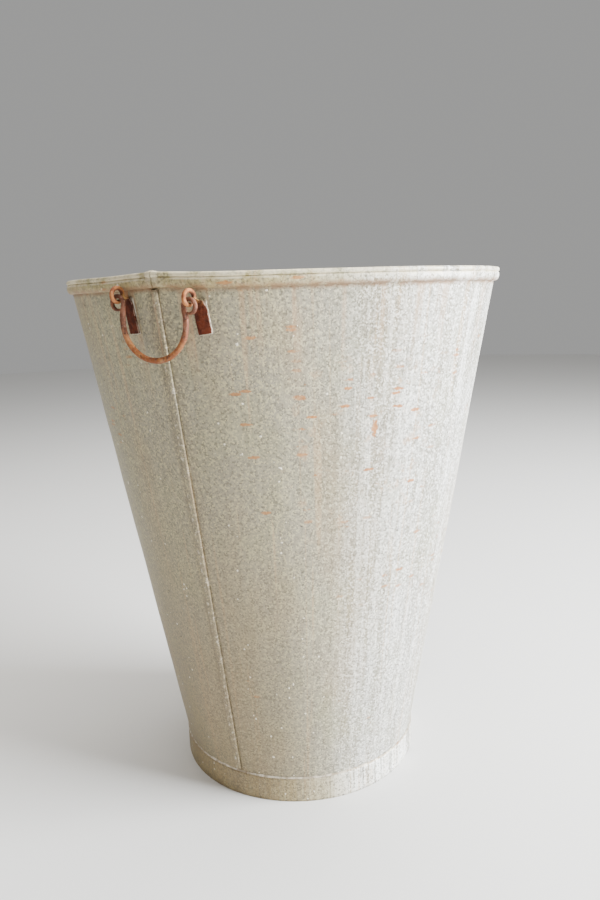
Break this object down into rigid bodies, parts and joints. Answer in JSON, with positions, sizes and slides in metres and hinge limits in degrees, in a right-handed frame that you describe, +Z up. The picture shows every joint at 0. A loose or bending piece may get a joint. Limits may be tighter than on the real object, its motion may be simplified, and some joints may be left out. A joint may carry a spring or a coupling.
{
  "type": "florist bucket",
  "caption": "Tall tapered galvanised sheet bucket for cut flowers, with a wired rim over a half-round hoop, a banded foot and a drop handle at each side seam.",
  "frame": {"origin": "centre of the foot, on the surface that the bucket stands on", "axes": "+Z up the bucket's axis; X through the two side seams and their handles, left handle at -X; -Y towards the front panel"},
  "size_m": [0.5138, 0.4944, 0.6019],
  "materials": {
    "galvanised_sheet": "weathered matt zinc coating, mottled, with drip streaks",
    "galvanised_iron": "weathered zinc coating, rust at the lower edge",
    "steel_wire": "plain drawn wire",
    "solder": "dull tin-lead solder, worn bright at the edges",
    "rusted_iron": "dark red-brown rust, matt",
    "worn_iron_rod": "orange-brown rust rubbed smooth by hands"
  },
  "bodies": {
    "bucket": {"front_panel": "galvanised_sheet", "back_panel": "galvanised_sheet", "foot_band": "galvanised_sheet", "floor_pan": "galvanised_sheet", "rim_hoop": "galvanised_iron", "rim_wire": "steel_wire", "foot_solder": "solder", "floor_solder": "solder", "left_seam_solder": "solder", "right_seam_solder": "solder", "left_front_lug_solder": "solder", "left_rear_lug_solder": "solder", "right_front_lug_solder": "solder", "right_rear_lug_solder": "solder", "left_front_lug": "rusted_iron", "left_rear_lug": "rusted_iron", "right_front_lug": "rusted_iron", "right_rear_lug": "rusted_iron"},
    "left_handle": {"left_handle": "worn_iron_rod"},
    "right_handle": {"right_handle": "worn_iron_rod"}
  },
  "joints": [
    {"name": "left_handle_swing", "type": "hinge", "parent": "bucket", "child": "left_handle", "pos_m": [-0.24652, 0.00056, 0.57903], "axis": [-0.0467, 0.9972, 0.0593], "range_deg": [-5, 170]},
    {"name": "right_handle_swing", "type": "hinge", "parent": "bucket", "child": "right_handle", "pos_m": [0.24652, -0.00056, 0.57903], "axis": [0.0467, -0.9972, 0.0593], "range_deg": [-5, 170]}
  ]
}
